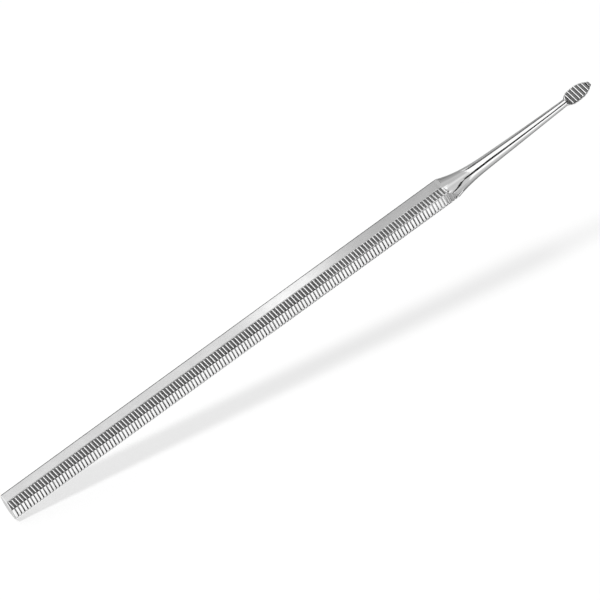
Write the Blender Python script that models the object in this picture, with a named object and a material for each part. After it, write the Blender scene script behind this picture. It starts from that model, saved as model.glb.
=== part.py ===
"""Ingrown toenail file.

A slim hand tool ground from one steel bar: a grooved octagonal handle, a neck and
tapering round shank, and a small leaf-shaped file head with cross-cut teeth.

The tool lies along X with the head at +X. The origin is below its middle, on the
surface that the handle's plain bottom flat rests on.
"""
import math

import bmesh
import bpy
from mathutils import Vector

MM = 0.001

# Handle: an octagonal bar whose top and bottom flats are plain
HANDLE_LENGTH = 107.75 * MM
BAR_WIDTH = 5.3 * MM
BAR_HEIGHT = 5.3 * MM
CORNER_LEG = 1.325 * MM
TAIL_ROUND = 0.20 * MM
TAIL_ROUND_STEPS = 3
TAIL_SLOPE = math.radians(2.0)

# Grooves round the sides of the bar, from one plain flat to the other
GROOVE_PITCH = 0.778 * MM
GROOVE_WIDTH = 0.26 * MM
GROOVE_DEPTH = 0.09 * MM
GROOVE_SLANT = math.radians(7.5)
GROOVE_RUN_OUT = 0.30 * MM
TAIL_LAND = 0.04 * MM
NECK_GROOVES = 3

# Neck and shank: a flare that runs out of the bar into a tapering round rod
SHANK_LENGTH = 30.95 * MM
SHANK_TIP_RADIUS = 0.78 * MM
SHANK_ROOT_RADIUS = 1.84 * MM
TAPER_POWER = 1.16
FLARE_LENGTH = 12.6 * MM
FLARE_POWER = 3.0
FLARE_COVER = 0.04 * MM
ROUND_SIDES = 28
SHANK_STEPS = 24
STEP_CROWDING = 1.4
STOCK_SPARE = 1.0 * MM

# Height of the shank's centre above the bar's axis, at distances past the handle
SHANK_BEND = (
    (0.0 * MM, -0.38 * MM),
    (4.0 * MM, -0.44 * MM),
    (10.5 * MM, -0.42 * MM),
    (17.5 * MM, -0.335 * MM),
    (24.0 * MM, -0.21 * MM),
    (29.5 * MM, -0.07 * MM),
    (31.0 * MM, -0.01 * MM),
    (32.3 * MM, 0.09 * MM),
    (34.5 * MM, 0.25 * MM),
    (38.0 * MM, 0.38 * MM),
)

# File head: a flattened leaf, rolled so that its broad face looks up and forward
HEAD_LENGTH = 6.3 * MM
HEAD_WIDTH = 3.12 * MM
HEAD_THICKNESS = 1.50 * MM
HEAD_TIP_RADIUS = 0.28 * MM
HEAD_WIDEST = 2.6 * MM
HEAD_ROLL = math.radians(45.0)
SHOULDER_POWER = 2.8
POINT_POWER = 2.4
EDGE_POWER = 8.0
SHOULDER_STEPS = 4

# Teeth cut across both broad faces of the head
TOOTH_PITCH = 0.79 * MM
TOOTH_WIDTH = 0.26 * MM
TOOTH_DEPTH = 0.10 * MM
TOOTH_SLANT = math.radians(11.0)
FIRST_TOOTH = 0.85 * MM
TIP_LAND = 0.50 * MM

# Colour and roughness of the satin handle, the bright shank and the ground head
HANDLE_FINISH = ((0.82, 0.82, 0.81), 0.22)
SHANK_FINISH = ((0.86, 0.86, 0.85), 0.12)
HEAD_FINISH = ((0.80, 0.80, 0.79), 0.25)

# Places along X
TOTAL_LENGTH = HANDLE_LENGTH + SHANK_LENGTH + HEAD_LENGTH
TAIL_X = -TOTAL_LENGTH / 2
NECK_X = TAIL_X + HANDLE_LENGTH
HEAD_X = NECK_X + SHANK_LENGTH
AXIS_HEIGHT = BAR_HEIGHT / 2

# The handle's last groove and the neck's first one leave a land between them, where the
# handle ends, and the grooves go back from there as far as the tail's rounding lets them
CORNER_FACE = CORNER_LEG * math.sqrt(2.0)
SLANT_SHIFT = CORNER_FACE * math.tan(GROOVE_SLANT)
LAST_GROOVE = HANDLE_LENGTH - (GROOVE_PITCH + SLANT_SHIFT) / 2
CORNER_REACH = (BAR_WIDTH + BAR_HEIGHT) / 2 - CORNER_LEG
TAIL_DEPTH = TAIL_ROUND + 2 * CORNER_REACH * math.tan(TAIL_SLOPE)
GROOVE_ROOM = LAST_GROOVE - TAIL_DEPTH - TAIL_LAND - GROOVE_WIDTH / 2
HANDLE_GROOVES = int(GROOVE_ROOM / GROOVE_PITCH) + 1

# As many teeth as leave the tip's land plain
TOOTH_COUNT = int((HEAD_LENGTH - TIP_LAND - FIRST_TOOTH) / TOOTH_PITCH) + 1

# Where the neck begins, its flare just clears the corners of the bar that it is ground from
SIDE_CORNER = math.hypot(BAR_WIDTH / 2, BAR_HEIGHT / 2 - CORNER_LEG)
TOP_CORNER = math.hypot(BAR_WIDTH / 2 - CORNER_LEG, BAR_HEIGHT / 2)
CORNER_RADIUS = max(SIDE_CORNER, TOP_CORNER) + abs(SHANK_BEND[0][1])
FLARE_RISE = CORNER_RADIUS + FLARE_COVER - SHANK_ROOT_RADIUS


def clear_scene():
    """Remove every object that a new file starts with."""
    for old in list(bpy.data.objects):
        bpy.data.objects.remove(old, do_unlink=True)


def new_collection(name):
    """Add a named collection to the scene."""
    collection = bpy.data.collections.new(name)
    bpy.context.scene.collection.children.link(collection)
    return collection


def steel(name, finish):
    """Make a bare steel material of a colour and roughness."""
    colour, roughness = finish
    material = bpy.data.materials.new(name)
    material.use_nodes = True
    shader = material.node_tree.nodes["Principled BSDF"]
    shader.inputs["Base Color"].default_value = (*colour, 1.0)
    shader.inputs["Metallic"].default_value = 1.0
    shader.inputs["Roughness"].default_value = roughness
    return material


def add_object(name, bm, x, collection, material=None):
    """Turn a bmesh into an object whose own zero is on the bar's axis at x."""
    bmesh.ops.recalc_face_normals(bm, faces=bm.faces)
    mesh = bpy.data.meshes.new(name)
    bm.to_mesh(mesh)
    bm.free()
    part = bpy.data.objects.new(name, mesh)
    part.location = (x, 0.0, AXIS_HEIGHT)
    collection.objects.link(part)
    if material:
        mesh.materials.append(material)
    return part


def loft(bm, rings):
    """Skin a row of rings that have the same number of points, and close both ends."""
    rows = [[bm.verts.new(point) for point in ring] for ring in rings]
    for row, after in zip(rows, rows[1:]):
        for i in range(len(row)):
            j = (i + 1) % len(row)
            bm.faces.new((row[i], row[j], after[j], after[i]))
    bm.faces.new(rows[0])
    bm.faces.new(rows[-1])


def corner_points():
    """List the bar's outline points in its upper +Y quarter, from the plain top flat to the side.

    Each has its place, its outward way scaled so that a step of one moves both faces by one,
    the way along the corner face from the plain flat, and whether the grooves reach it.
    """
    across = Vector((0.0, 1.0, 0.0))
    up = Vector((0.0, 0.0, 1.0))
    corner_out = (across + up).normalized()
    plain_edge = across * (BAR_WIDTH / 2 - CORNER_LEG) + up * BAR_HEIGHT / 2
    side_edge = across * BAR_WIDTH / 2 + up * (BAR_HEIGHT / 2 - CORNER_LEG)
    down = (side_edge - plain_edge).normalized()
    mitre = 1.0 + corner_out.dot(up)
    return [
        (plain_edge, (corner_out + up) / mitre, 0.0, False),
        (plain_edge + down * GROOVE_RUN_OUT, corner_out, GROOVE_RUN_OUT, True),
        (side_edge, (corner_out + across) / mitre, CORNER_FACE, True),
    ]


def bar_outline():
    """Go once round the bar, turning the quarter's points into all four quarters."""
    quarter = corner_points()
    outline = []
    for y, z in ((1.0, 1.0), (1.0, -1.0), (-1.0, -1.0), (-1.0, 1.0)):
        flip = Vector((1.0, y, z))
        points = quarter if y == z else reversed(quarter)
        outline += [(point * flip, out * flip, run, cut) for point, out, run, cut in points]
    return outline


def bar_ring(x, inset=0.0, slope=0.0):
    """Make a plain section of the bar, inset all round and sloped off square."""
    ring = []
    for point, out, run, cut in bar_outline():
        place = point - out * inset
        ring.append(place + Vector((x + slope * (CORNER_REACH + place.y + place.z), 0.0, 0.0)))
    return ring


def groove_rings(middle):
    """Make the three sections of one groove: its first edge, its bottom and its second edge."""
    rings = []
    for step, depth in ((-GROOVE_WIDTH / 2, 0.0), (0.0, GROOVE_DEPTH), (GROOVE_WIDTH / 2, 0.0)):
        ring = []
        for point, out, run, cut in bar_outline():
            along = middle + step + run * math.tan(GROOVE_SLANT)
            ring.append(point - out * (depth if cut else 0.0) + Vector((along, 0.0, 0.0)))
        rings.append(ring)
    return rings


def tail_rings():
    """Make the tail end's sections: a little off square, with its edge rounded."""
    rings = []
    for step in range(TAIL_ROUND_STEPS + 1):
        angle = math.pi / 2 * step / TAIL_ROUND_STEPS
        inset = TAIL_ROUND * (1.0 - math.sin(angle))
        rings.append(bar_ring(TAIL_ROUND * (1.0 - math.cos(angle)), inset, math.tan(TAIL_SLOPE)))
    return rings


def build_handle(collection):
    """Make the grooved octagonal handle."""
    rings = tail_rings()
    for groove in reversed(range(HANDLE_GROOVES)):
        rings += groove_rings(LAST_GROOVE - groove * GROOVE_PITCH)
    rings.append(bar_ring(HANDLE_LENGTH))
    bm = bmesh.new()
    loft(bm, rings)
    return add_object("handle", bm, TAIL_X, collection, steel("handle_steel", HANDLE_FINISH))


def bend_height(distance):
    """Read the smooth curve through the shank's bend points at a distance past the handle."""
    spots = [spot for spot, height in SHANK_BEND]
    heights = [height for spot, height in SHANK_BEND]
    slopes = []
    for i in range(len(spots)):
        before = max(i - 1, 0)
        after = min(i + 1, len(spots) - 1)
        slopes.append((heights[after] - heights[before]) / (spots[after] - spots[before]))
    distance = min(max(distance, spots[0]), spots[-1])
    i = max(k for k in range(len(spots) - 1) if spots[k] <= distance)
    span = spots[i + 1] - spots[i]
    t = (distance - spots[i]) / span
    start = (2 * t**3 - 3 * t**2 + 1) * heights[i] + (t**3 - 2 * t**2 + t) * span * slopes[i]
    end = (3 * t**2 - 2 * t**3) * heights[i + 1] + (t**3 - t**2) * span * slopes[i + 1]
    return start + end


def shank_radius(distance):
    """Add the neck's flare to the long taper of the shank."""
    left = max(1.0 - distance / SHANK_LENGTH, 0.0)
    taper = (SHANK_ROOT_RADIUS - SHANK_TIP_RADIUS) * left**TAPER_POWER
    flare = FLARE_RISE * max(1.0 - distance / FLARE_LENGTH, 0.0) ** FLARE_POWER
    return SHANK_TIP_RADIUS + taper + flare


def shank_ring(distance):
    """Make one round section of the shank."""
    radius = shank_radius(distance)
    centre = bend_height(distance)
    ring = []
    for i in range(ROUND_SIDES):
        angle = 2 * math.pi * i / ROUND_SIDES
        ring.append(Vector((distance, radius * math.cos(angle), centre + radius * math.sin(angle))))
    return ring


def build_neck_stock(collection):
    """Make the grooved bar that the neck is ground from, as far as the head."""
    rings = [bar_ring(0.0)]
    for groove in range(NECK_GROOVES):
        rings += groove_rings((GROOVE_PITCH - SLANT_SHIFT) / 2 + groove * GROOVE_PITCH)
    rings.append(bar_ring(SHANK_LENGTH + STOCK_SPARE))
    bm = bmesh.new()
    loft(bm, rings)
    stock = add_object("neck_stock", bm, NECK_X, collection)
    stock.hide_render = True
    stock.display_type = "WIRE"
    return stock


def build_shank(collection, cutters):
    """Make the neck and shank: a flared rod trimmed by the octagonal bar that it is ground from."""
    distances = [-STOCK_SPARE]
    for step in range(SHANK_STEPS + 1):
        distances.append(SHANK_LENGTH * (step / SHANK_STEPS) ** STEP_CROWDING)
    bm = bmesh.new()
    loft(bm, [shank_ring(distance) for distance in distances])
    shank = add_object("shank", bm, NECK_X, collection, steel("shank_steel", SHANK_FINISH))
    trim = shank.modifiers.new("octagonal stock", "BOOLEAN")
    trim.operation = "INTERSECT"
    trim.object = build_neck_stock(cutters)
    return shank


def head_half_width(distance):
    """Give the leaf outline: a quick shoulder, then a long curve to the point."""
    half = HEAD_WIDTH / 2
    if distance < HEAD_WIDEST:
        rise = 1.0 - (1.0 - distance / HEAD_WIDEST) ** SHOULDER_POWER
        return SHANK_TIP_RADIUS + (half - SHANK_TIP_RADIUS) * rise
    fall = ((distance - HEAD_WIDEST) / (HEAD_LENGTH - HEAD_WIDEST)) ** POINT_POWER
    return half + (HEAD_TIP_RADIUS - half) * fall


def head_half_thickness(distance):
    """Give the leaf's thickness, from the shank's own to the point's."""
    half = HEAD_THICKNESS / 2
    if distance < HEAD_WIDEST:
        rise = distance / HEAD_WIDEST
        return SHANK_TIP_RADIUS + (half - SHANK_TIP_RADIUS) * rise
    fall = ((distance - HEAD_WIDEST) / (HEAD_LENGTH - HEAD_WIDEST)) ** POINT_POWER
    return half + (HEAD_TIP_RADIUS - half) * fall


def head_ring(distance, inset):
    """Make one section of the leaf, leaning with the teeth and cut in by the inset."""
    squareness = min(distance / FIRST_TOOTH, 1.0)
    power = 2.0 / (2.0 + (EDGE_POWER - 2.0) * squareness)
    half_width = head_half_width(distance) - inset
    half_thickness = head_half_thickness(distance) - inset
    lean = math.tan(TOOTH_SLANT) * min(squareness, (HEAD_LENGTH - distance) / FIRST_TOOTH)
    centre = bend_height(SHANK_LENGTH + distance)
    ring = []
    for i in range(ROUND_SIDES):
        angle = 2 * math.pi * i / ROUND_SIDES
        wide = math.copysign(abs(math.cos(angle)) ** power, math.cos(angle)) * half_width
        thick = math.copysign(abs(math.sin(angle)) ** power, math.sin(angle)) * half_thickness
        y = wide * math.cos(HEAD_ROLL) - thick * math.sin(HEAD_ROLL)
        z = wide * math.sin(HEAD_ROLL) + thick * math.cos(HEAD_ROLL)
        ring.append(Vector((distance - lean * wide, y, centre + z)))
    return ring


def build_head(collection):
    """Make the leaf-shaped head with its teeth cut round it."""
    rings = []
    for step in range(SHOULDER_STEPS):
        rings.append(head_ring((FIRST_TOOTH - TOOTH_WIDTH / 2) * step / SHOULDER_STEPS, 0.0))
    for tooth in range(TOOTH_COUNT):
        middle = FIRST_TOOTH + tooth * TOOTH_PITCH
        rings.append(head_ring(middle - TOOTH_WIDTH / 2, 0.0))
        rings.append(head_ring(middle, TOOTH_DEPTH))
        rings.append(head_ring(middle + TOOTH_WIDTH / 2, 0.0))
    last = FIRST_TOOTH + (TOOTH_COUNT - 1) * TOOTH_PITCH + TOOTH_WIDTH / 2
    rings.append(head_ring((last + HEAD_LENGTH) / 2, 0.0))
    rings.append(head_ring(HEAD_LENGTH, 0.0))
    bm = bmesh.new()
    loft(bm, rings)
    return add_object("file_head", bm, HEAD_X, collection, steel("head_steel", HEAD_FINISH))


def main():
    """Build the whole tool."""
    clear_scene()
    tool = new_collection("ingrown_toenail_file")
    cutters = new_collection("cutters")
    build_handle(tool)
    build_shank(tool, cutters)
    build_head(tool)


main()
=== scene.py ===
"""Looks of the ingrown toenail file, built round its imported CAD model.

The file is laid out as a Blender add-on and is run as a script. Each piece is modelled with one
unit to the millimetre about the bar's axis, and is then brought to metres in its own mesh.
"""
import math

import bmesh
import bpy
from bpy.props import FloatProperty, FloatVectorProperty, IntProperty, PointerProperty
from mathutils import Matrix, Vector


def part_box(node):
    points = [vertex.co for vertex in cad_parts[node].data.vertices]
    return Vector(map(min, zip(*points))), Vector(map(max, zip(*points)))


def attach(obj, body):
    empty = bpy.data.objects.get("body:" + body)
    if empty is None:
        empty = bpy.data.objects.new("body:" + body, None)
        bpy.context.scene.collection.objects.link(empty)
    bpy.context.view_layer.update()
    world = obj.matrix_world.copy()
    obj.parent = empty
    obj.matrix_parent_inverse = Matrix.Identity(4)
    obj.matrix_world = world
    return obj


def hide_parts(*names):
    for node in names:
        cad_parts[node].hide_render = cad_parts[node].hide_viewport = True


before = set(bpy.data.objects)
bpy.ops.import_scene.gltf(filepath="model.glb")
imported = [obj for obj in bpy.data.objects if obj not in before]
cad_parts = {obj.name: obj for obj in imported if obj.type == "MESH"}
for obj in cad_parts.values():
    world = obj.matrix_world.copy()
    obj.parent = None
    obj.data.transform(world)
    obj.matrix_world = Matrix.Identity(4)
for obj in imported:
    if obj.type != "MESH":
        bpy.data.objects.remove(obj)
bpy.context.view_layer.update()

bl_info = {
    "name": "Ingrown Toenail File",
    "version": (1, 0, 0),
    "blender": (4, 5, 0),
    "location": "View3D > Sidebar > Nail File",
    "description": "Models a one-piece steel toenail file and its pale studio",
    "category": "Add Mesh",
}

# Where the camera aims, in the picture's own directions from the row frame's origin, in mm
AIM_RIGHT = -0.92
AIM_UP = 0.785

# Cards that the steel reflects: name, low and high angle over the front in degrees, ends along
# the tool in mm, and tones from the low edge to the high one
CARD_DISTANCE = 150.0
CARDS = (
    ("near_edge_card", -38.0, 42.5, -105.0, 46.5, (0.04,)),
    ("left_edge_card", -38.0, 42.5, -420.0, -105.0, (0.04,)),
    ("right_edge_card", -38.0, 42.5, 200.0, 520.0, (0.04,)),
    ("near_face_card", 42.5, 53.0, -110.0, 65.0, (0.10,)),
    ("upper_edge_card", 53.0, 131.0, -110.0, 65.0, (0.45,)),
    ("groove_light_card", 53.5, 68.0, 190.0, 440.0, (1.45,)),
    ("far_edge_card", 140.5, 215.0, -110.0, 58.0, (0.03,)),
    ("tail_card", 217.0, 240.0, -130.0, -75.0, (0.62,)),
    ("side_card", -46.5, -38.0, -110.0, 61.0, (1.15,)),
    ("lower_edge_card", -135.0, -70.0, 10.0, 58.0, (0.03,)),
    ("neck_start_card", -38.0, 42.5, 46.5, 58.0, (0.44,)),
    ("shank_line_card", 19.0, 52.0, 58.0, 79.0, (0.01,)),
    ("shank_glint_card", -8.0, 19.0, 58.0, 79.0, (1.20,)),
    ("thin_line_card", 16.0, 47.0, 79.0, 90.0, (0.01,)),
    ("thin_glint_card", -8.0, 16.0, 79.0, 90.0, (1.25,)),
    ("neck_line_card", 15.0, 42.0, 90.0, 98.0, (0.01,)),
    ("neck_glint_card", -8.0, 15.0, 90.0, 98.0, (1.20,)),
    ("shank_white_card", 53.0, 108.0, 65.0, 98.0, (1.15,)),
    ("shank_low_card", -95.0, -8.0, 58.0, 99.0, (0.08, 0.36, 0.54, 0.68, 0.95)),
    ("shank_dark_card", 108.0, 140.0, 58.0, 79.0, (0.17,)),
    ("shank_back_card", 140.0, 215.0, 58.0, 79.0, (0.42,)),
    ("thin_dark_card", 108.0, 134.0, 79.0, 90.0, (0.08,)),
    ("thin_back_card", 134.0, 215.0, 79.0, 90.0, (0.34,)),
    ("shank_under_card", -140.0, -95.0, 58.0, 99.0, (0.24,)),
    ("neck_low_card", -100.0, -30.0, 99.0, 200.0, (0.53,)),
    ("neck_under_card", -140.0, -100.0, 76.0, 200.0, (0.36,)),
    ("neck_middle_card", -30.0, 8.0, 99.0, 200.0, (0.64,)),
    ("neck_front_card", 8.0, 85.0, 98.0, 200.0, (0.66, 0.66, 0.62, 0.86, 0.60)),
    ("neck_high_card", 85.0, 111.0, 98.0, 200.0, (0.56,)),
    ("neck_back_card", 111.0, 165.0, 90.0, 200.0, (0.60, 0.56, 0.42, 0.38, 0.33)),
    ("neck_outline_card", 165.0, 215.0, 90.0, 200.0, (0.25,)),
)

# Cards that hang close to the tool, listed in the same way
NEAR_DISTANCE = 30.0
NEAR_CARDS = (
    ("head_card", 36.0, 56.0, 71.0, 115.0, (0.18,)),
    ("shoulder_card", 43.0, 56.0, 68.2, 71.0, (0.20,)),
    ("head_light_card", 22.0, 40.0, 9.0, 49.5, (1.5,)),
    ("near_groove_light_card", 53.5, 68.0, -80.0, 52.0, (1.45,)),
    ("neck_side_card", -48.0, -36.0, 38.8, 43.0, (0.38,)),
    ("neck_face_card", 42.0, 55.0, 39.6, 43.0, (0.40,)),
    ("head_dark_card", 56.0, 125.0, 98.0, 260.0, (0.01,)),
)

# The dark card for the straight part of the neck's line, just in front of the far cards
LEVEL_LINE_DISTANCE = 149.0
LEVEL_LINE_CARD = ("level_line_card", 19.0, 40.0, 97.0, 114.0, (0.01,))

# The card over the plain flat: its angles and ends, and tones at places along the tool in mm
PLAIN_CARD = (131.0, 140.5, -110.0, 58.0)
PLAIN_TONES = ((2.8, 0.81), (10.2, 1.12), (17.0, 1.12), (22.4, 1.02), (29.7, 0.63), (36.9, 0.54))

# Dark cards for the curved part: name, angle, place along the tool, lean, width and height
LEANING_DISTANCE = 145.0
LEANING_TONE = 0.01
LEANING_CARDS = (
    ("bent_line_card", 10.4, 126.5, 10.3, 18.0, 80.0),
    ("line_foot_card", -7.5, 140.5, 38.0, 26.0, 36.0),
)

# The black card below the front, for the side grooves: its middle, length and width in mm
GROOVE_CARD_PLACE = (-28.25, -9.7, -10.0)
GROOVE_CARD_LENGTH = 143.5
GROOVE_CARD_WIDTH = 9.4

# The one lamp: the way to it from the tool, its distance and size in metres, and its power
LAMP_WAY = (-0.30, -0.25, 1.0)
LAMP_DISTANCE = 3.0
LAMP_SIZE = 0.48
LAMP_POWER = 61.0
SOFT_LIGHT = 0.55
FLOOR_REACH = 3.0
FLOOR_ROUGHNESS = 0.9
SENSOR_WIDTH = 36.0
WHITE = (1.0, 1.0, 1.0, 1.0)

MM = 0.001
BODY = "root"

# Vertices closer than this, in mm, count as one
MERGE_GAP = 0.0005
# Bevel profile whose middle point lies on the straight line between its ends
STRAIGHT_PROFILE = 0.25
# Edges that turn by less than this are shaded smooth
SMOOTH_BELOW = math.radians(24.0)
EDGE_SEGMENTS = 3
TAIL_STEPS = 6

# The rod: sides, rings, how its rings crowd towards the neck, and its length inside the bar in mm
ROD_SIDES = 96
ROD_STEPS = 72
ROD_CROWDING = 1.3
ROD_SPARE = 1.0

# The leaf: how fast its shoulder and its point curve, and the corner of its unit section
SHOULDER_POWER = 2.8
POINT_POWER = 2.4
LEAF_CORNER = 0.10
LEAF_SIDE_CUTS = 11
SHOULDER_SIDES = 60
SHOULDER_CUTS = 5
LAND_PARTS = (0.35, 0.7, 1.0)
POINT_STEPS = 5
POINT_CLOSING = 0.9

# Grinding lines of each zone: material name, noise scale along and across, and height in mm
GRINDING = {
    "handle": ("satin_handle_steel", (180.0, 9000.0, 9000.0), 0.006),
    "shank": ("bright_shank_steel", (260.0, 7000.0, 7000.0), 0.002),
    "head": ("ground_head_steel", (3000.0, 5000.0, 5000.0), 0.006),
}
GRINDING_STRENGTH = 0.35
CLOUD_SCALE = 260.0
CLOUD_SHADE = 0.94
SCUFF_SCALE = (900.0, 2600.0, 2600.0)
ROUGHNESS_SPREAD = (0.8, 1.3)

# One groove's section across half its width: place in half widths, depth in groove depths
GROOVE_HALF_SECTION = ((1.06, 0.0), (0.94, 0.07), (0.80, 0.22), (0.10, 0.96))

# The shank's bend: distance past the handle and height of its centre over the bar's axis, in mm
SHANK_BEND = (
    (0.0, -0.38),
    (4.0, -0.44),
    (10.5, -0.42),
    (17.5, -0.335),
    (24.0, -0.21),
    (29.5, -0.07),
    (31.0, -0.01),
    (32.3, 0.09),
    (34.5, 0.25),
    (38.0, 0.38),
)


def length(name, description, millimetres):
    """Make a length property whose default is given in millimetres."""
    return FloatProperty(
        name=name,
        description=description,
        default=millimetres * MM,
        min=0.0,
        precision=5,
        unit="LENGTH",
    )


def angle(name, description, degrees):
    """Make an angle property whose default is given in degrees."""
    return FloatProperty(
        name=name,
        description=description,
        default=math.radians(degrees),
        unit="ROTATION",
    )


def share(name, description, default):
    """Make a property that runs from nought to one."""
    return FloatProperty(
        name=name, description=description, default=default, min=0.0, max=1.0, subtype="FACTOR"
    )


def colour(name, description, default):
    """Make a colour property."""
    return FloatVectorProperty(
        name=name,
        description=description,
        default=default,
        size=3,
        min=0.0,
        max=1.0,
        subtype="COLOR",
    )


class BarSettings(bpy.types.PropertyGroup):
    """Sizes of the grooved octagonal bar."""

    handle: length("Handle length", "Length of the bar from its tail to the neck", 107.75)
    width: length("Width", "Width of the bar across its flats", 5.3)
    height: length("Height", "Height of the bar across its flats", 5.3)
    corner: length("Corner leg", "How far each corner is cut off along the flats", 1.325)
    edge: length("Front edge rounding", "How far the plain flats' front edges are rounded back", 0.08)
    far_edge: length("Back edge rounding", "How far the plain flats' back edges are rounded back", 0.20)
    side_edge: length("Side edge rounding", "How far the side flats' edges are rounded back", 0.13)
    pitch: length("Groove pitch", "Distance from one groove to the next", 0.778)
    groove_width: length("Groove width", "Width of a groove at its top", 0.29)
    groove_depth: length("Groove depth", "Depth of a groove", 0.095)
    groove_lean: FloatProperty(
        name="Groove lean", description="Shift of a groove's floor, in half widths", default=0.30
    )
    slant: angle("Groove slant", "Lean of the grooves on the four corner faces", 7.5)
    run_out: length("Groove run-out", "Distance from a plain flat to a groove's full depth", 0.30)
    grooves: IntProperty(name="Grooves", description="Grooves along the handle", default=138, min=1)
    neck_grooves: IntProperty(
        name="Neck grooves", description="Grooves that run on into the neck", default=3, min=0
    )
    tail_round: length("Tail rounding", "Radius round the edge of the tail end", 0.20)
    tail_slope: angle("Tail slope", "How far the tail end is off square", 2.0)


class ShankSettings(bpy.types.PropertyGroup):
    """Sizes of the neck and the tapering shank."""

    shank: length("Shank length", "Length from the handle to the file head", 30.95)
    tip_radius: length("Tip radius", "Radius where the head begins", 0.78)
    root_radius: length("Root radius", "Radius of the long taper at the handle", 1.84)
    taper: FloatProperty(name="Taper power", description="How the taper eases off", default=1.16)
    flare: length("Flare length", "Length of the neck's flare", 12.6)
    flare_power: FloatProperty(name="Flare power", description="How the flare eases off", default=3.0)
    flare_cover: length("Flare cover", "How far the flare clears the bar's corners", 0.04)


class HeadSettings(bpy.types.PropertyGroup):
    """Sizes of the leaf-shaped file head."""

    leaf: length("Head length", "Length of the leaf", 6.28)
    wide: length("Head width", "Greatest width of the leaf", 3.12)
    thick: length("Head thickness", "Greatest thickness of the leaf", 1.50)
    tip_radius: length("Point radius", "Radius of the rounded point", 0.28)
    widest: length("Widest place", "Distance from the shank to the greatest width", 2.6)
    roll: angle("Roll", "Turn of the broad face towards the front", 45.0)
    tooth_pitch: length("Tooth pitch", "Distance from one tooth to the next", 0.79)
    tooth_width: length("Tooth gap", "Width of the cut between two teeth", 0.34)
    tooth_depth: length("Tooth depth", "Depth of the cut between two teeth", 0.09)
    cut_lean: FloatProperty(
        name="Cut lean", description="Shift of a cut's floor, in half widths", default=0.15
    )
    slant: angle("Tooth slant", "Lean of the teeth across the leaf", 11.0)
    first_tooth: length("First tooth", "Distance from the shank to the first cut", 0.85)
    teeth: IntProperty(name="Cuts", description="Cuts between the teeth", default=7, min=1)


class FinishSettings(bpy.types.PropertyGroup):
    """Colours and polish of the three steel finishes."""

    handle_colour: colour("Handle steel", "Colour of the handle's satin steel", (0.92, 0.92, 0.92))
    handle_polish: share("Handle roughness", "Roughness of the handle's steel", 0.12)
    shank_colour: colour("Shank steel", "Colour of the bright shank", (0.92, 0.92, 0.92))
    shank_polish: share("Shank roughness", "Roughness of the shank's steel", 0.06)
    head_colour: colour("Head steel", "Colour of the ground head", (0.90, 0.90, 0.90))
    head_polish: share("Head roughness", "Roughness of the head's steel", 0.12)


class StageSettings(bpy.types.PropertyGroup):
    """The pale floor, the light and the camera."""

    azimuth: angle("Camera azimuth", "Way round from the front; minus is towards the tail", -9.0)
    elevation: angle("Camera elevation", "Height of the camera above the horizon", 42.6)
    rise: angle("Picture slope", "Slope of the tool in the picture", 36.03)
    reach: length("Camera distance", "Distance from the camera to the tool", 2997.5)
    lens: FloatProperty(name="Lens", description="Focal length of the camera in mm", default=900.0)
    fall: angle("Floor fall", "How far the floor falls away under the head", 16.9)
    floor_colour: colour("Floor", "Colour of the floor", (0.96, 0.96, 0.96))
    floor_white: share("Floor white", "How much of the floor the camera sees as plain white", 0.63)


def mm(size):
    """Give a length property in millimetres."""
    return size / MM


def node_end(node):
    """Say where a CAD node ends towards the head, in mm."""
    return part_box(node)[1].x / MM


def stop_editing():
    """Go back to object mode with nothing selected."""
    if bpy.context.mode != "OBJECT":
        bpy.ops.object.mode_set(mode="OBJECT")
    bpy.ops.object.select_all(action="DESELECT")


def start_editing():
    """Edit the active mesh by its vertices, with all of it selected."""
    bpy.ops.object.mode_set(mode="EDIT")
    bpy.context.tool_settings.mesh_select_mode = (True, False, False)
    bpy.ops.mesh.select_all(action="SELECT")


def apply_place():
    """Put the active object's place, turn and scale into its mesh."""
    bpy.ops.object.transform_apply(location=True, rotation=True, scale=True)


def pick(test):
    """Select the vertices that pass a test, with the edges and faces between them."""
    bpy.ops.mesh.select_all(action="DESELECT")
    mesh = bpy.context.edit_object.data
    bm = bmesh.from_edit_mesh(mesh)
    found = 0
    for vert in bm.verts:
        if test(vert):
            vert.select = True
            found += 1
    bm.select_flush_mode()
    bmesh.update_edit_mesh(mesh)
    if not found:
        raise RuntimeError("nothing to pick in " + bpy.context.edit_object.name)


def slide(x=0.0, y=0.0, z=0.0):
    """Move what is selected."""
    bpy.ops.transform.translate(value=(x, y, z))


def swell(centre, x=1.0, y=1.0, z=1.0):
    """Scale what is selected about a centre."""
    bpy.ops.transform.resize(value=(x, y, z), center_override=centre)


def draw_out(x, y=0.0, z=0.0):
    """Extrude the selected ring and leave the new ring selected."""
    bpy.ops.mesh.extrude_region_move(TRANSFORM_OT_translate={"value": (x, y, z)})


def apply_modifier(piece, name, kind, **values):
    """Add a modifier to the active piece with these values and apply it."""
    modifier = piece.modifiers.new(name, kind)
    for key, value in values.items():
        setattr(modifier, key, value)
    bpy.ops.object.modifier_apply(modifier=modifier.name)


def activate(piece):
    """Make one object the only selected and active one."""
    stop_editing()
    piece.select_set(True)
    bpy.context.view_layer.objects.active = piece


def close_mesh():
    """Merge doubled vertices and point every face outwards, in edit mode."""
    bpy.ops.mesh.select_all(action="SELECT")
    bpy.ops.mesh.remove_doubles(threshold=MERGE_GAP)
    bpy.ops.mesh.normals_make_consistent(inside=False)


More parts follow.
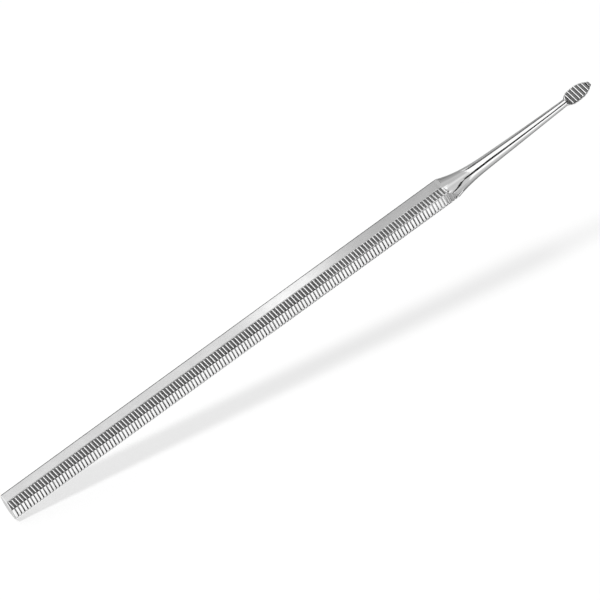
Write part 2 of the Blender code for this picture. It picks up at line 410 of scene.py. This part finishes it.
def finish_piece(piece, name, node, material):
    """Shade a piece, bring it to metres in its own mesh and put it in its CAD node's place."""
    activate(piece)
    piece.name = name
    piece.data.name = name
    start_editing()
    close_mesh()
    slide(z=mm(bpy.context.scene.nail_file_bar.height) / 2)
    bpy.ops.object.mode_set(mode="OBJECT")
    bpy.ops.object.shade_smooth_by_angle(angle=SMOOTH_BELOW)
    apply_modifier(piece, "flats keep flat", "WEIGHTED_NORMAL", keep_sharp=True, thresh=0.0)
    swell((0.0, 0.0, 0.0), MM, MM, MM)
    apply_place()
    piece.data.materials.clear()
    piece.data.materials.append(material)
    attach(piece, BODY)
    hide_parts(node)
    stop_editing()


# The bar


def slant_shift(bar):
    """Say how far a groove slides along the bar as it crosses a corner face."""
    return mm(bar.corner) * math.sqrt(2.0) * math.tan(bar.slant)


def last_groove(bar):
    """Say where the handle's last groove meets the plain flat, from the tail."""
    return mm(bar.handle) - (mm(bar.pitch) + slant_shift(bar)) / 2


def draw_bar_section(bar):
    """Draw the bar's outline: an octagon with rounded edges and a run-out point on each corner face."""
    stop_editing()
    bpy.ops.mesh.primitive_plane_add(size=1.0, rotation=(0.0, math.pi / 2, 0.0))
    apply_place()
    start_editing()
    swell((0.0, 0.0, 0.0), 1.0, mm(bar.width), mm(bar.height))
    bpy.ops.mesh.bevel(
        offset=mm(bar.corner),
        offset_type="ABSOLUTE",
        segments=2,
        profile=STRAIGHT_PROFILE,
        affect="VERTICES",
    )
    corner_middle = (mm(bar.width) - mm(bar.corner)) / 2
    pick(lambda vert: abs(abs(vert.co.y) - abs(vert.co.z)) < MERGE_GAP)
    side = (mm(bar.width) / 2 - mm(bar.corner)) + mm(bar.run_out) * math.sqrt(0.5)
    top = mm(bar.height) / 2 - mm(bar.run_out) * math.sqrt(0.5)
    swell((0.0, 0.0, 0.0), 1.0, side / corner_middle, top / corner_middle)
    plain = mm(bar.height) / 2 - MERGE_GAP
    edges = (
        (bar.edge, lambda vert: abs(vert.co.z) > plain and vert.co.y < 0.0),
        (bar.far_edge, lambda vert: abs(vert.co.z) > plain and vert.co.y > 0.0),
        (bar.side_edge, lambda vert: abs(vert.co.z) < corner_middle),
    )
    for rounding, test in edges:
        pick(test)
        bpy.ops.mesh.bevel(
            offset=mm(rounding),
            offset_type="ABSOLUTE",
            segments=EDGE_SEGMENTS,
            affect="VERTICES",
        )
    bpy.ops.mesh.select_all(action="SELECT")
    bpy.ops.mesh.delete(type="ONLY_FACE")
    bpy.ops.mesh.select_all(action="SELECT")


def cut_section(half, depth, lean):
    """List a cut's rings across its width: place from its middle and depth."""
    sides = [(-x, z) for x, z in GROOVE_HALF_SECTION] + [(0.0, 1.0)]
    sides += [(x, z) for x, z in reversed(GROOVE_HALF_SECTION)]
    return [((x + lean * z) * half, z * depth) for x, z in sides]


def groove_section(bar):
    """List the rings of one of the bar's grooves."""
    return cut_section(mm(bar.groove_width) / 2, mm(bar.groove_depth), bar.groove_lean)


def make_grooved_bar(bar, first, count):
    """Make a row of grooves along the bar, open at both ends, from the groove at first."""
    pitch = mm(bar.pitch)
    draw_bar_section(bar)
    section = groove_section(bar)
    place = 0.0
    for x in [pitch / 2 + spot for spot, depth in section] + [pitch]:
        draw_out(x - place)
        place = x
    rounding = mm(max(bar.edge, bar.far_edge))
    plain = mm(bar.height) / 2 - rounding * math.sqrt(0.5) - 2 * MERGE_GAP
    for spot, depth in section:
        x = pitch / 2 + spot
        if depth:
            pick(lambda vert: abs(vert.co.x - x) < MERGE_GAP and abs(vert.co.z) < plain)
            shrink = 1.0 - depth / (mm(bar.height) / 2)
            swell((0.0, 0.0, 0.0), 1.0, shrink, shrink)
    corner_middle = (mm(bar.height) - mm(bar.corner)) / 2
    pick(lambda vert: corner_middle < abs(vert.co.z) < plain)
    slide(x=mm(bar.run_out) * math.tan(bar.slant))
    pick(lambda vert: abs(vert.co.z) < corner_middle)
    slide(x=slant_shift(bar))
    bpy.ops.object.mode_set(mode="OBJECT")
    piece = bpy.context.object
    apply_modifier(
        piece,
        "row of grooves",
        "ARRAY",
        count=count,
        use_relative_offset=False,
        use_constant_offset=True,
        constant_offset_displace=(pitch, 0.0, 0.0),
        use_merge_vertices=True,
        merge_threshold=MERGE_GAP,
    )
    start_editing()
    slide(x=first - pitch / 2)
    return piece


def open_end(far):
    """Pick the ring at the open end of the edited tube, the far one or the near one."""
    bm = bmesh.from_edit_mesh(bpy.context.edit_object.data)
    places = [vert.co.x for vert in bm.verts]
    middle = (min(places) + max(places)) / 2
    pick(lambda vert: vert.is_boundary and (vert.co.x > middle) == far)


def cut(place, facing, keep_low, fill):
    """Cut the edited mesh by a plane, keep the low or the high side and leave the cut selected."""
    bpy.ops.mesh.select_all(action="SELECT")
    bpy.ops.mesh.bisect(
        plane_co=place,
        plane_no=facing,
        use_fill=fill,
        clear_outer=keep_low,
        clear_inner=not keep_low,
        threshold=MERGE_GAP / 10,
    )


def round_tail(bar, middle):
    """Draw the open tail ring in round its edge and close it."""
    radius = mm(bar.tail_round)
    half = mm(bar.height) / 2
    for step in range(TAIL_STEPS):
        turn = math.pi / 2 * step / TAIL_STEPS
        after = math.pi / 2 * (step + 1) / TAIL_STEPS
        draw_out(radius * (math.sin(turn) - math.sin(after)))
        before = half - radius * (1.0 - math.cos(turn))
        shrink = (half - radius * (1.0 - math.cos(after))) / before
        swell((middle + radius * (1.0 - math.sin(after)), 0.0, 0.0), shrink, shrink, shrink)
    bpy.ops.mesh.edge_face_add()


def make_handle(bar, tail, neck):
    """Make the handle: grooved bar, rounded tail and a plane end at the neck."""
    first = tail + last_groove(bar) - mm(bar.pitch) * (bar.grooves - 1)
    piece = make_grooved_bar(bar, first, bar.grooves + 1)
    cut((neck, 0.0, 0.0), (1.0, 0.0, 0.0), keep_low=True, fill=True)
    open_end(far=False)
    draw_out(tail - first)
    slope = math.tan(bar.tail_slope)
    reach = (mm(bar.width) + mm(bar.height)) / 2 - mm(bar.corner)
    middle = tail + slope * reach
    place = (middle + mm(bar.tail_round), 0.0, 0.0)
    cut(place, (1.0, -slope, -slope), keep_low=False, fill=False)
    round_tail(bar, middle)
    return piece


# The neck and shank


def bend_height(distance):
    """Read the smooth curve through the shank's bend at a distance past the handle."""
    spots = [spot for spot, height in SHANK_BEND]
    heights = [height for spot, height in SHANK_BEND]
    slopes = []
    for i in range(len(spots)):
        before = max(i - 1, 0)
        after = min(i + 1, len(spots) - 1)
        slopes.append((heights[after] - heights[before]) / (spots[after] - spots[before]))
    distance = min(max(distance, spots[0]), spots[-1])
    i = max(k for k in range(len(spots) - 1) if spots[k] <= distance)
    span = spots[i + 1] - spots[i]
    t = (distance - spots[i]) / span
    start = (2 * t**3 - 3 * t**2 + 1) * heights[i] + (t**3 - 2 * t**2 + t) * span * slopes[i]
    end = (3 * t**2 - 2 * t**3) * heights[i + 1] + (t**3 - t**2) * span * slopes[i + 1]
    return start + end


def flare_rise(bar, rod):
    """Say how far the flare has to swell to clear the bar's corners at the neck."""
    half = mm(bar.width) / 2
    corner = math.hypot(half, half - mm(bar.corner)) + abs(SHANK_BEND[0][1])
    return corner + mm(rod.flare_cover) - mm(rod.root_radius)


def shank_radius(bar, rod, distance):
    """Add the neck's flare to the long taper of the shank."""
    left = max(1.0 - distance / mm(rod.shank), 0.0)
    taper = mm(rod.root_radius - rod.tip_radius) * left**rod.taper
    flare = flare_rise(bar, rod) * max(1.0 - distance / mm(rod.flare), 0.0) ** rod.flare_power
    return mm(rod.tip_radius) + taper + flare


def make_rod(bar, rod, neck):
    """Draw out a round rod ring by ring along the shank's bend."""
    stretch = mm(rod.shank)
    distances = [-ROD_SPARE]
    distances += [stretch * (step / ROD_STEPS) ** ROD_CROWDING for step in range(ROD_STEPS + 1)]
    radius = shank_radius(bar, rod, -ROD_SPARE)
    height = bend_height(-ROD_SPARE)
    stop_editing()
    bpy.ops.mesh.primitive_circle_add(
        vertices=ROD_SIDES,
        radius=radius,
        fill_type="NGON",
        location=(neck - ROD_SPARE, 0.0, height),
        rotation=(0.0, math.pi / 2, 0.0),
    )
    apply_place()
    rod_piece = bpy.context.object
    start_editing()
    for before, here in zip(distances, distances[1:]):
        new_height = bend_height(here)
        new_radius = shank_radius(bar, rod, here)
        draw_out(here - before, 0.0, new_height - height)
        swell((neck + here, 0.0, new_height), 1.0, new_radius / radius, new_radius / radius)
        height = new_height
        radius = new_radius
    close_mesh()
    stop_editing()
    return rod_piece


def make_neck_stock(bar, rod, neck):
    """Make the stretch of grooved bar that the neck is ground from."""
    first = neck + last_groove(bar) - mm(bar.handle)
    stock = make_grooved_bar(bar, first, bar.neck_grooves + 1)
    cut((neck, 0.0, 0.0), (1.0, 0.0, 0.0), keep_low=False, fill=True)
    open_end(far=True)
    draw_out(mm(rod.shank))
    bpy.ops.mesh.edge_face_add()
    close_mesh()
    stop_editing()
    return stock


def make_shank(bar, rod, neck):
    """Trim the flared rod by the grooved bar, as the neck is ground out of it."""
    stock = make_neck_stock(bar, rod, neck)
    piece = make_rod(bar, rod, neck)
    activate(piece)
    apply_modifier(
        piece, "ground from the bar", "BOOLEAN", operation="INTERSECT", solver="EXACT", object=stock
    )
    bpy.data.objects.remove(stock, do_unlink=True)
    return piece


# The file head


def narrow_to_point(head, distance, half):
    """Narrow a half size of the leaf from its widest place to the point's radius."""
    widest = mm(head.widest)
    fall = ((distance - widest) / (mm(head.leaf) - widest)) ** POINT_POWER
    return half + (mm(head.tip_radius) - half) * fall


def leaf_half_width(head, distance):
    """Give the leaf's outline: a quick shoulder, then a long curve to the point."""
    half = mm(head.wide) / 2
    widest = mm(head.widest)
    start = mm(bpy.context.scene.nail_file_shank.tip_radius)
    if distance < widest:
        return start + (half - start) * (1.0 - (1.0 - distance / widest) ** SHOULDER_POWER)
    return narrow_to_point(head, distance, half)


def leaf_half_thickness(head, distance):
    """Give the leaf's half thickness, from the shank's radius to the point's."""
    half = mm(head.thick) / 2
    widest = mm(head.widest)
    start = mm(bpy.context.scene.nail_file_shank.tip_radius)
    if distance < widest:
        return start + (half - start) * distance / widest
    return narrow_to_point(head, distance, half)


def leaf_halves(head, distance, inset):
    """Give the leaf's half width and half thickness at a station, less its inset."""
    wide = leaf_half_width(head, distance) - inset
    return wide, leaf_half_thickness(head, distance) - inset


def leaf_stations(head):
    """List the leaf's rings past its shoulder: distance from the shank and inset."""
    gap = mm(head.tooth_width) / 2
    depth = mm(head.tooth_depth)
    stations = []
    for tooth in range(head.teeth):
        middle = mm(head.first_tooth) + tooth * mm(head.tooth_pitch)
        if stations:
            stations.append((middle - mm(head.tooth_pitch) / 2, 0.0))
        stations += [(middle + x, inset) for x, inset in cut_section(gap, depth, head.cut_lean)]
    last = stations[-1][0]
    end = mm(head.leaf) - mm(head.tip_radius)
    return stations + [(last + (end - last) * part, 0.0) for part in LAND_PARTS]


def draw_shoulder_ring(place):
    """Draw the round ring where the shank ends and the head begins."""
    stop_editing()
    bpy.ops.mesh.primitive_circle_add(
        vertices=SHOULDER_SIDES,
        radius=mm(bpy.context.scene.nail_file_shank.tip_radius),
        fill_type="NOTHING",
        location=place,
        rotation=(0.0, math.pi / 2, 0.0),
    )
    apply_place()
    return bpy.context.object


def draw_leaf_ring(head, place, wide, thick):
    """Draw the leaf's first ring, a slanting rectangle with rounded corners."""
    stop_editing()
    bpy.ops.mesh.primitive_plane_add(size=2.0, rotation=(0.0, math.pi / 2, 0.0))
    apply_place()
    ring = bpy.context.object
    start_editing()
    bpy.ops.mesh.bevel(
        offset=LEAF_CORNER, offset_type="ABSOLUTE", segments=EDGE_SEGMENTS, affect="VERTICES"
    )
    bpy.ops.mesh.select_all(action="SELECT")
    bpy.ops.mesh.delete(type="ONLY_FACE")
    corner = 1.0 - LEAF_CORNER
    for axis in (1, 2):
        pick(lambda vert: abs(abs(vert.co[axis]) - corner) < MERGE_GAP)
        bpy.ops.mesh.subdivide(number_cuts=LEAF_SIDE_CUTS)
    bpy.ops.mesh.select_all(action="SELECT")
    swell((0.0, 0.0, 0.0), 1.0, wide, thick)
    slide(*place)
    lean = math.tan(head.slant)
    for vert in bmesh.from_edit_mesh(ring.data).verts:
        vert.co.x -= lean * (vert.co.y - place.y)
    bmesh.update_edit_mesh(ring.data)
    stop_editing()
    return ring


def round_point(head, place):
    """Draw the open ring in to the leaf's rounded point and close it."""
    radius = mm(head.tip_radius)
    for step in range(POINT_STEPS):
        turn = math.pi / 2 * step / POINT_STEPS
        after = math.pi / 2 * (step + POINT_CLOSING) / POINT_STEPS
        draw_out(radius * (math.sin(after) - math.sin(turn)))
        shrink = math.cos(after) / math.cos(turn)
        swell((place.x + radius * math.sin(after), place.y, place.z), shrink, shrink, shrink)
    bpy.ops.mesh.edge_face_add()


def make_head(head, shank_end, start):
    """Make the toothed leaf flat, then roll it towards the front."""

    def middle(distance):
        """Give the leaf's middle at a distance past the shank, on the bend before the roll."""
        height = bend_height(start + distance)
        return Vector(
            (shank_end + distance, height * math.sin(head.roll), height * math.cos(head.roll))
        )

    stations = leaf_stations(head)
    distance, inset = stations[0]
    wide, thick = leaf_halves(head, distance, inset)
    centre = middle(distance)
    piece = draw_shoulder_ring(middle(0.0))
    ring = draw_leaf_ring(head, centre, wide, thick)
    activate(piece)
    ring.select_set(True)
    bpy.ops.object.join()
    start_editing()
    bpy.ops.mesh.bridge_edge_loops(number_cuts=SHOULDER_CUTS, interpolation="LINEAR")
    pick(lambda vert: vert.is_boundary and vert.co.x > shank_end + MERGE_GAP)
    for distance, inset in stations[1:]:
        place = middle(distance)
        draw_out(*(place - centre))
        new_wide, new_thick = leaf_halves(head, distance, inset)
        swell(place, new_wide / wide, new_wide / wide, new_thick / thick)
        centre, wide, thick = place, new_wide, new_thick
    round_point(head, centre)
    pick(lambda vert: vert.is_boundary and vert.co.x < shank_end + MERGE_GAP)
    bpy.ops.mesh.edge_face_add()
    close_mesh()
    bpy.ops.transform.rotate(
        value=-head.roll, orient_axis="X", center_override=(shank_end, 0.0, 0.0)
    )
    stop_editing()
    return piece


# Finishes


def new_material(name):
    """Make a material with an empty node tree."""
    material = bpy.data.materials.new(name)
    material.use_nodes = True
    material.node_tree.nodes.clear()
    return material


def add_node(owner, kind, place, **values):
    """Add a node at a place in a material's or world's tree, and set its sockets by name."""
    node = owner.node_tree.nodes.new("ShaderNode" + kind)
    node.location = place
    for name, value in values.items():
        socket = name.replace("_", " ")
        if socket in node.inputs:
            node.inputs[socket].default_value = value
        else:
            setattr(node, name, value)
    return node


def join(owner, source, output, target, socket):
    """Link one node's output to another's input."""
    owner.node_tree.links.new(source.outputs[output], target.inputs[socket])


def steel(zone):
    """Make a zone's steel with grinding lines along the tool, faint clouding and small scuffs."""
    finish = bpy.context.scene.nail_file_finish
    tint = getattr(finish, zone + "_colour")
    polish = getattr(finish, zone + "_polish")
    name, grain, grain_height = GRINDING[zone]
    material = new_material(name)
    output = add_node(material, "OutputMaterial", (900, 0))
    shader = add_node(material, "BsdfPrincipled", (600, 0), Metallic=1.0)
    join(material, shader, "BSDF", output, "Surface")
    place = add_node(material, "TexCoord", (-1000, 0))
    lines_place = add_node(material, "Mapping", (-800, 200), Scale=grain)
    join(material, place, "Object", lines_place, "Vector")
    lines = add_node(material, "TexNoise", (-600, 200), Scale=1.0, Detail=4.0, Roughness=0.6)
    join(material, lines_place, "Vector", lines, "Vector")
    clouds = add_node(
        material, "TexNoise", (-600, -100), Scale=CLOUD_SCALE, Detail=3.0, Roughness=0.55
    )
    join(material, place, "Object", clouds, "Vector")
    scuffs_place = add_node(material, "Mapping", (-800, -400), Scale=SCUFF_SCALE)
    join(material, place, "Object", scuffs_place, "Vector")
    scuffs = add_node(material, "TexNoise", (-600, -400), Scale=1.0, Detail=6.0, Roughness=0.7)
    join(material, scuffs_place, "Vector", scuffs, "Vector")

    tone = add_node(material, "ValToRGB", (-300, 0))
    dark, light = tone.color_ramp.elements
    dark.position = 0.35
    dark.color = (*[part * CLOUD_SHADE for part in tint], 1.0)
    light.position = 0.65
    light.color = (*tint, 1.0)
    join(material, clouds, "Fac", tone, "Fac")
    join(material, tone, "Color", shader, "Base Color")

    low, high = ROUGHNESS_SPREAD
    rough = add_node(
        material,
        "MapRange",
        (-300, -300),
        From_Min=0.3,
        From_Max=0.7,
        To_Min=polish * low,
        To_Max=polish * high,
    )
    join(material, scuffs, "Fac", rough, "Value")
    join(material, rough, "Result", shader, "Roughness")

    bump = add_node(
        material, "Bump", (300, -300), Strength=GRINDING_STRENGTH, Distance=grain_height * MM
    )
    join(material, lines, "Fac", bump, "Height")
    join(material, bump, "Normal", shader, "Normal")
    return material


# The stage


def glow(name, tone):
    """Make a plain glowing card material of one grey."""
    material = new_material(name)
    output = add_node(material, "OutputMaterial", (200, 0))
    light = add_node(material, "Emission", (0, 0), Color=(tone, tone, tone, 1.0), Strength=1.0)
    join(material, light, "Emission", output, "Surface")
    return material


def add_card(name, place, turn, wide, tall, tone):
    """Add a glowing card of a size in mm at a place in mm, which only the steel reflects."""
    stop_editing()
    bpy.ops.mesh.primitive_plane_add(size=1.0)
    card = bpy.context.object
    card.name = name
    size = Matrix.Diagonal((wide * MM, tall * MM, 1.0, 1.0))
    card.matrix_world = Matrix.Translation(Vector(place) * MM) @ turn @ size
    card.data.materials.append(glow(name, tone))
    card.visible_camera = False
    card.visible_diffuse = False
    card.visible_transmission = False
    card.visible_volume_scatter = False
    card.visible_shadow = False
    return card


def card_place(middle, along, distance):
    """Give the middle of a card that faces the bar's axis from an angle over the front."""
    height = mm(bpy.context.scene.nail_file_bar.height) / 2 + distance * math.sin(middle)
    return (along, -distance * math.cos(middle), height)


def hang_card(name, low, high, start, end, tones, distance):
    """Hang a card beside the tool, with tones across its width."""
    middle = math.radians((low + high) / 2)
    wide = 2 * distance * math.tan(math.radians(high - low) / 2)
    place = card_place(middle, (start + end) / 2, distance)
    turn = Matrix.Rotation(math.pi / 2 - middle, 4, "X")
    card = add_card(name, place, turn, end - start, wide, tones[0])
    if len(tones) > 1:
        last = len(tones) - 1
        stops = [(i / last, tone) for i, tone in enumerate(tones)]
        shade_card(card.data.materials[0], "Y", stops)
    return card


def shade_card(material, axis, stops):
    """Grade a card's glow between stops along one of its own axes."""
    place = add_node(material, "TexCoord", (-900, 0))
    split = add_node(material, "SeparateXYZ", (-700, 0))
    join(material, place, "Object", split, "Vector")
    shift = add_node(material, "Math", (-500, 0), operation="ADD")
    shift.inputs[1].default_value = 0.5
    join(material, split, axis, shift, 0)
    ramp = add_node(material, "ValToRGB", (-300, 0))
    join(material, shift, "Value", ramp, "Fac")
    elements = ramp.color_ramp.elements
    while len(elements) < len(stops):
        elements.new(1.0)
    for element, (spot, tone) in zip(elements, stops):
        element.position = spot
        element.color = (tone, tone, tone, 1.0)
    light = next(node for node in material.node_tree.nodes if node.type == "EMISSION")
    join(material, ramp, "Color", light, "Color")


def hang_plain_card():
    """Hang the card over the plain flat: even grey, then a bright patch, then a darker grey."""
    low, high, start, end = PLAIN_CARD
    card = hang_card("plain_flat_card", low, high, start, end, (1.0,), CARD_DISTANCE)
    stops = [((place - start) / (end - start), tone) for place, tone in PLAIN_TONES]
    shade_card(card.data.materials[0], "X", stops)


def hang_groove_card():
    """Lay a black card close below the front, which only the side grooves reflect."""
    level = Matrix.Identity(4)
    add_card("groove_card", GROOVE_CARD_PLACE, level, GROOVE_CARD_LENGTH, GROOVE_CARD_WIDTH, 0.0)


def hang_leaning_card(name, middle, along, lean, wide, tall):
    """Hang one of the leaning dark cards that the neck's curved line reflects."""
    middle = math.radians(middle)
    place = card_place(middle, along, LEANING_DISTANCE)
    lean_turn = Matrix.Rotation(math.radians(lean), 4, "Z")
    turn = Matrix.Rotation(math.pi / 2 - middle, 4, "X") @ lean_turn
    add_card(name, place, turn, wide, tall, LEANING_TONE)


def light_world():
    """Give the camera and the reflections a white room, and everything else a soft light."""
    world = bpy.data.worlds.new("white_room")
    bpy.context.scene.world = world
    world.use_nodes = True
    world.node_tree.nodes.clear()
    output = add_node(world, "OutputWorld", (600, 0))
    mix = add_node(world, "MixShader", (400, 0))
    soft = add_node(world, "Background", (200, -100), Color=WHITE, Strength=SOFT_LIGHT)
    white = add_node(world, "Background", (200, -300), Color=WHITE, Strength=1.0)
    path = add_node(world, "LightPath", (-400, 300))
    seen = add_node(world, "Math", (-200, 300), operation="MAXIMUM")
    shown = add_node(world, "Math", (0, 300), operation="MAXIMUM")
    join(world, path, "Is Camera Ray", seen, 0)
    join(world, path, "Is Glossy Ray", seen, 1)
    join(world, seen, "Value", shown, 0)
    join(world, path, "Is Transmission Ray", shown, 1)
    join(world, shown, "Value", mix, "Fac")
    join(world, soft, "Background", mix, 1)
    join(world, white, "Background", mix, 2)
    join(world, mix, "Shader", output, "Surface")


def pale_floor(stage):
    """Make the floor's material: matt and pale, and partly plain white to the camera."""
    material = new_material("pale_floor")
    output = add_node(material, "OutputMaterial", (600, 0))
    shader = add_node(material, "BsdfPrincipled", (0, 0), Roughness=FLOOR_ROUGHNESS)
    shader.inputs["Base Color"].default_value = (*stage.floor_colour, 1.0)
    shader.inputs["Specular IOR Level"].default_value = 0.0
    white = add_node(material, "Emission", (0, -400), Color=WHITE, Strength=1.0)
    path = add_node(material, "LightPath", (-300, 300))
    shown = add_node(material, "Math", (0, 300), operation="MULTIPLY")
    shown.inputs[1].default_value = stage.floor_white
    join(material, path, "Is Camera Ray", shown, 0)
    mix = add_node(material, "MixShader", (300, 0))
    join(material, shown, "Value", mix, "Fac")
    join(material, shader, "BSDF", mix, 1)
    join(material, white, "Emission", mix, 2)
    join(material, mix, "Shader", output, "Surface")
    return material


def add_floor(stage, tail):
    """Lay the pale floor, which touches the tail and falls away under the head."""
    stop_editing()
    bpy.ops.mesh.primitive_plane_add(size=1.0)
    floor = bpy.context.object
    floor.name = "floor"
    start_editing()
    slide(x=-0.5)
    swell((0.0, 0.0, 0.0), FLOOR_REACH, 2 * FLOOR_REACH, 1.0)
    slide(x=tail * MM)
    pick(lambda vert: vert.co.x > tail * MM - MM)
    draw_out(FLOOR_REACH * math.cos(stage.fall), 0.0, -FLOOR_REACH * math.sin(stage.fall))
    bpy.ops.object.mode_set(mode="OBJECT")
    floor.data.materials.append(pale_floor(stage))
    floor.visible_glossy = False


def add_lamp():
    """Hang the square soft lamp, which looks at the tool and stays out of its reflections."""
    light = bpy.data.lights.new("top_soft_lamp", "AREA")
    light.shape = "SQUARE"
    light.size = LAMP_SIZE
    light.energy = LAMP_POWER
    lamp = bpy.data.objects.new("top_soft_lamp", light)
    bpy.context.scene.collection.objects.link(lamp)
    back = Vector(LAMP_WAY).normalized()
    lamp.location = back * LAMP_DISTANCE
    lamp.rotation_mode = "QUATERNION"
    lamp.rotation_quaternion = back.to_track_quat("Z", "Y")
    lamp.visible_glossy = False


def add_camera(stage):
    """Set up the camera at the photograph's angle, rolled so that the tool rises to the right."""
    azimuth = stage.azimuth
    elevation = stage.elevation
    back = Vector(
        (
            math.sin(azimuth) * math.cos(elevation),
            -math.cos(azimuth) * math.cos(elevation),
            math.sin(elevation),
        )
    )
    right = Vector((math.cos(azimuth), math.sin(azimuth), 0.0))
    up = back.cross(right)
    turn = stage.rise - math.atan2(up.x, right.x)
    picture_right = right * math.cos(turn) - up * math.sin(turn)
    picture_up = right * math.sin(turn) + up * math.cos(turn)
    aim = (picture_right * AIM_RIGHT + picture_up * AIM_UP) * MM
    data = bpy.data.cameras.new("studio_camera")
    data.lens = stage.lens
    data.sensor_width = SENSOR_WIDTH
    data.clip_start = 0.01
    data.clip_end = 20.0
    camera = bpy.data.objects.new("studio_camera", data)
    bpy.context.scene.collection.objects.link(camera)
    rows = Matrix((picture_right, picture_up, back)).transposed()
    camera.matrix_world = Matrix.Translation(aim + back * stage.reach) @ rows.to_4x4()
    bpy.context.scene.camera = camera


class NAIL_FILE_OT_handle(bpy.types.Operator):
    """Model the grooved octagonal handle"""

    bl_idname = "nail_file.handle"
    bl_label = "Handle"
    bl_options = {"REGISTER", "UNDO"}

    def execute(self, context):
        bar = context.scene.nail_file_bar
        neck = node_end("handle")
        piece = make_handle(bar, neck - mm(bar.handle), neck)
        finish_piece(piece, "grooved_handle", "handle", steel("handle"))
        return {"FINISHED"}


class NAIL_FILE_OT_shank(bpy.types.Operator):
    """Model the neck and the tapering shank"""

    bl_idname = "nail_file.shank"
    bl_label = "Neck and Shank"
    bl_options = {"REGISTER", "UNDO"}

    def execute(self, context):
        scene = context.scene
        piece = make_shank(scene.nail_file_bar, scene.nail_file_shank, node_end("handle"))
        finish_piece(piece, "neck_and_shank", "shank", steel("shank"))
        return {"FINISHED"}


class NAIL_FILE_OT_head(bpy.types.Operator):
    """Model the toothed leaf of the file head"""

    bl_idname = "nail_file.head"
    bl_label = "File Head"
    bl_options = {"REGISTER", "UNDO"}

    def execute(self, context):
        scene = context.scene
        start = mm(scene.nail_file_shank.shank)
        piece = make_head(scene.nail_file_head, node_end("shank"), start)
        finish_piece(piece, "toothed_head", "file_head", steel("head"))
        return {"FINISHED"}


class NAIL_FILE_OT_stage(bpy.types.Operator):
    """Set up the pale floor, the soft light, the cards and the camera"""

    bl_idname = "nail_file.stage"
    bl_label = "Studio"
    bl_options = {"REGISTER", "UNDO"}

    def execute(self, context):
        stage = context.scene.nail_file_stage
        light_world()
        add_floor(stage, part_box("handle")[0].x / MM)
        add_lamp()
        for card in CARDS:
            hang_card(*card, CARD_DISTANCE)
        for card in NEAR_CARDS:
            hang_card(*card, NEAR_DISTANCE)
        hang_plain_card()
        hang_groove_card()
        for card in LEANING_CARDS:
            hang_leaning_card(*card)
        hang_card(*LEVEL_LINE_CARD, LEVEL_LINE_DISTANCE)
        add_camera(stage)
        context.scene.view_settings.view_transform = "Standard"
        return {"FINISHED"}


class NAIL_FILE_PT_panel(bpy.types.Panel):
    """Sizes, finishes and steps of the toenail file"""

    bl_label = "Toenail File"
    bl_idname = "NAIL_FILE_PT_panel"
    bl_space_type = "VIEW_3D"
    bl_region_type = "UI"
    bl_category = "Nail File"

    def draw(self, context):
        scene = context.scene
        groups = (
            ("Bar", scene.nail_file_bar, NAIL_FILE_OT_handle),
            ("Shank", scene.nail_file_shank, NAIL_FILE_OT_shank),
            ("Head", scene.nail_file_head, NAIL_FILE_OT_head),
            ("Finish", scene.nail_file_finish, None),
            ("Studio", scene.nail_file_stage, NAIL_FILE_OT_stage),
        )
        for title, group, operator in groups:
            box = self.layout.box()
            box.label(text=title)
            for name in group.__annotations__:
                box.prop(group, name)
            if operator:
                box.operator(operator.bl_idname)


SETTINGS = {
    "nail_file_bar": BarSettings,
    "nail_file_shank": ShankSettings,
    "nail_file_head": HeadSettings,
    "nail_file_finish": FinishSettings,
    "nail_file_stage": StageSettings,
}
CLASSES = (
    NAIL_FILE_OT_handle,
    NAIL_FILE_OT_shank,
    NAIL_FILE_OT_head,
    NAIL_FILE_OT_stage,
    NAIL_FILE_PT_panel,
)


def register():
    """Register the settings, the operators and the panel."""
    for name, group in SETTINGS.items():
        bpy.utils.register_class(group)
        setattr(bpy.types.Scene, name, PointerProperty(type=group))
    for kind in CLASSES:
        bpy.utils.register_class(kind)


def unregister():
    """Take the panel, the operators and the settings away again."""
    for kind in reversed(CLASSES):
        bpy.utils.unregister_class(kind)
    for name, group in reversed(list(SETTINGS.items())):
        delattr(bpy.types.Scene, name)
        bpy.utils.unregister_class(group)


def main():
    """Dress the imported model."""
    register()
    bpy.ops.nail_file.handle()
    bpy.ops.nail_file.shank()
    bpy.ops.nail_file.head()
    bpy.ops.nail_file.stage()


if __name__ == "__main__":
    main()
